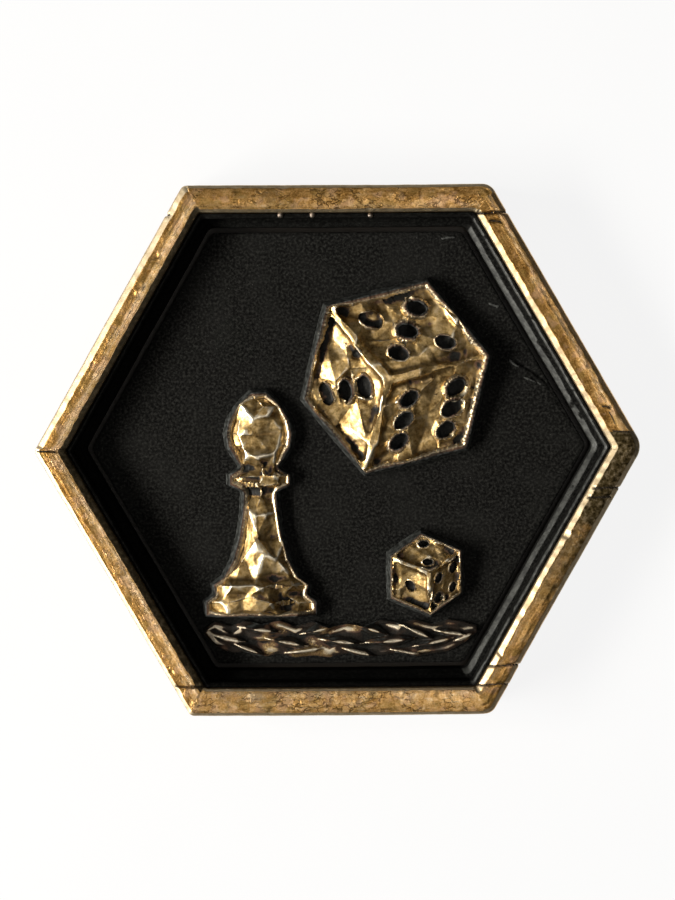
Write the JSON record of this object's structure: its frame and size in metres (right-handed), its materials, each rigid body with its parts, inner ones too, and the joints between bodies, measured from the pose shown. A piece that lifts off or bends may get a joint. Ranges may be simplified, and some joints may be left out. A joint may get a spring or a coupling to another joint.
{
  "type": "game token",
  "caption": "Hexagonal token: a brass rim of butted bars round a black stepped recess with a raised gold relief of a pawn and dice.",
  "frame": {"origin": "centre of the back face, which the token rests on", "axes": "+Z out of the face, +X to the right corner, +Y to the top bar"},
  "size_m": [0.0446, 0.039, 0.005],
  "materials": {
    "rim_brass": "aged, mottled, brighter on the worn edges",
    "plate_brass": "aged, dull, with fine scratches",
    "black_lacquer": "satin black with a fine grain and dust",
    "relief_gold": "gold worn through black on the raised facets"
  },
  "bodies": {
    "root": {"base_plate": "plate_brass", "rim_top": "rim_brass", "rim_bottom": "rim_brass", "rim_upper_left": "rim_brass", "rim_lower_left": "rim_brass", "rim_upper_right": "rim_brass", "rim_lower_right": "rim_brass", "liner_upper": "black_lacquer", "liner_lower": "black_lacquer", "floor_panel": "black_lacquer", "large_die": "relief_gold", "small_die": "relief_gold", "pawn": "relief_gold", "ground_band": "relief_gold"}
  },
  "joints": []
}
